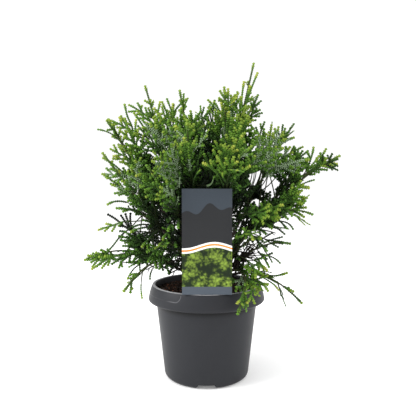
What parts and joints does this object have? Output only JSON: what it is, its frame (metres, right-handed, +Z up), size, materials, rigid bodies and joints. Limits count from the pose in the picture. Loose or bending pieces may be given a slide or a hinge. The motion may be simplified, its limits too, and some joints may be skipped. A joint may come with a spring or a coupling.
{
  "type": "potted hiba arborvitae",
  "caption": "Low bushy conifer with flat fern-like sprays on many thin boughs, planted in soil in a round nursery pot with a plain plant label",
  "frame": {"origin": "middle of the pot's underside, on the ground", "axes": "+Z up, -Y the front, where the label stands, +X to the right as seen from the front"},
  "size_m": [0.4266, 0.3239, 0.5262],
  "materials": {
    "pot_plastic": "dark grey moulded plastic, matte with a soft sheen",
    "peat": "dark brown crumbly peat with bits of bark",
    "label_card": "printed plastic card, slate with a pale curved band and a green foot",
    "bark": "rough fissured red-brown bark",
    "foliage": "waxy scale leaves, deep green with fresh yellow-green tips"
  },
  "bodies": {
    "root": {"bough_back_left": "bark", "bough_back_low_left": "bark", "bough_back_low_right": "bark", "bough_back_mid": "bark", "bough_back_right": "bark", "bough_back_upper": "bark", "bough_crest_back": "bark", "bough_crest_left": "bark", "bough_crest_right": "bark", "bough_front_drape": "bark", "bough_front_left": "bark", "bough_front_low_left": "bark", "bough_front_low_right": "bark", "bough_front_right": "bark", "bough_front_top": "bark", "bough_leader": "bark", "bough_left_crest": "bark", "bough_left_drape": "bark", "bough_left_low": "bark", "bough_left_mid": "bark", "bough_left_shoulder": "bark", "bough_left_sweep": "bark", "bough_left_upper": "bark", "bough_right_drape": "bark", "bough_right_fan": "bark", "bough_right_low": "bark", "bough_right_reach": "bark", "bough_right_shoulder": "bark", "mass_back_left": "foliage", "mass_back_low_left": "foliage", "mass_back_low_right": "foliage", "mass_back_mid": "foliage", "mass_back_right": "foliage", "mass_back_upper": "foliage", "mass_crest_back": "foliage", "mass_crest_left": "foliage", "mass_crest_right": "foliage", "mass_front_drape": "foliage", "mass_front_left": "foliage", "mass_front_low_left": "foliage", "mass_front_low_right": "foliage", "mass_front_right": "foliage", "mass_front_top": "foliage", "mass_leader": "foliage", "mass_left_crest": "foliage", "mass_left_drape": "foliage", "mass_left_low": "foliage", "mass_left_mid": "foliage", "mass_left_shoulder": "foliage", "mass_left_sweep": "foliage", "mass_left_upper": "foliage", "mass_right_drape": "foliage", "mass_right_fan": "foliage", "mass_right_low": "foliage", "mass_right_reach": "foliage", "mass_right_shoulder": "foliage", "plant_label": "label_card", "pot": "pot_plastic", "soil": "peat", "trunk": "bark"}
  },
  "joints": []
}
